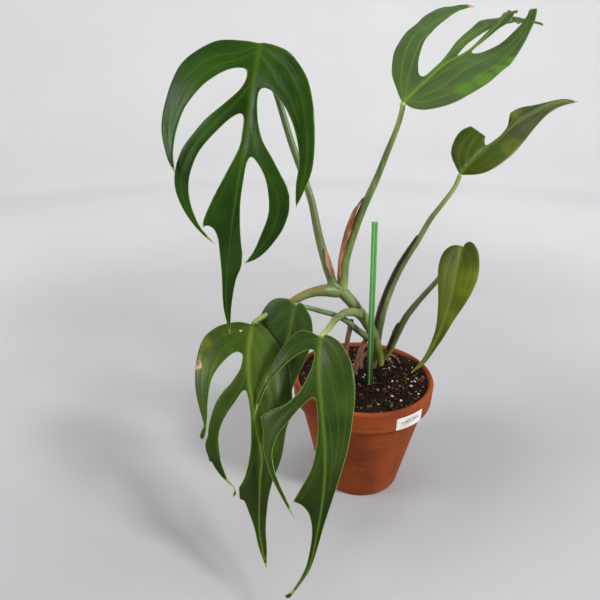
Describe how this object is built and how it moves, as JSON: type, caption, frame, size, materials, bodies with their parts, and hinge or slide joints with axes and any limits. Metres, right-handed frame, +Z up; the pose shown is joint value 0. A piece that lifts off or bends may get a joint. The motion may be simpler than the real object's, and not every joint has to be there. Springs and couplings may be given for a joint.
{
  "type": "potted burle marx flame monstera",
  "caption": "Young climbing aroid with deeply slotted flame-shaped leaves on arching stalks, in a round terracotta pot of dark soil with a green stake.",
  "frame": {"origin": "middle of the whole plant's bounding box on the surface that the pot stands on", "axes": "+Z up, along the pot's axis; -Y towards the side that the lower slotted leaves hang over"},
  "size_m": [0.3198, 0.3014, 0.3932],
  "materials": {
    "terracotta": "unglazed, matt, with faint turning rings and paler mottling",
    "potting_soil": "crumbly dark peat and bark mix with white perlite grains",
    "leaf_blade": "leathery satin green with pale midrib, fine side veins and a thin pale margin",
    "leaf_stalk": "smooth satin yellow-green to green",
    "stem": "green with brown ring scars",
    "root": "dry brown bark",
    "dried_sheath": "papery dry brown with darker streaks",
    "stake": "smooth green plastic, darker near the soil",
    "label": null
  },
  "bodies": {
    "root": {"stem": "stem", "petiole_1": "leaf_stalk", "petiole_2": "leaf_stalk", "petiole_3": "leaf_stalk", "petiole_4": "leaf_stalk", "petiole_5": "leaf_stalk", "petiole_6": "leaf_stalk", "petiole_7": "leaf_stalk", "aerial_root_1": "root", "aerial_root_2": "root", "aerial_root_3": "root", "aerial_root_4": "root", "aerial_root_5": "root", "aerial_root_6": "root", "stake": "stake", "sheath_1": "dried_sheath", "sheath_2": "dried_sheath", "sheath_3": "dried_sheath", "sheath_4": "dried_sheath", "blade_1": "leaf_blade", "blade_2": "leaf_blade", "blade_3": "leaf_blade", "blade_4": "leaf_blade", "blade_5": "leaf_blade", "blade_6": "leaf_blade", "blade_7": "leaf_blade", "soil": "potting_soil", "pot": "terracotta", "label": "label"}
  },
  "joints": []
}
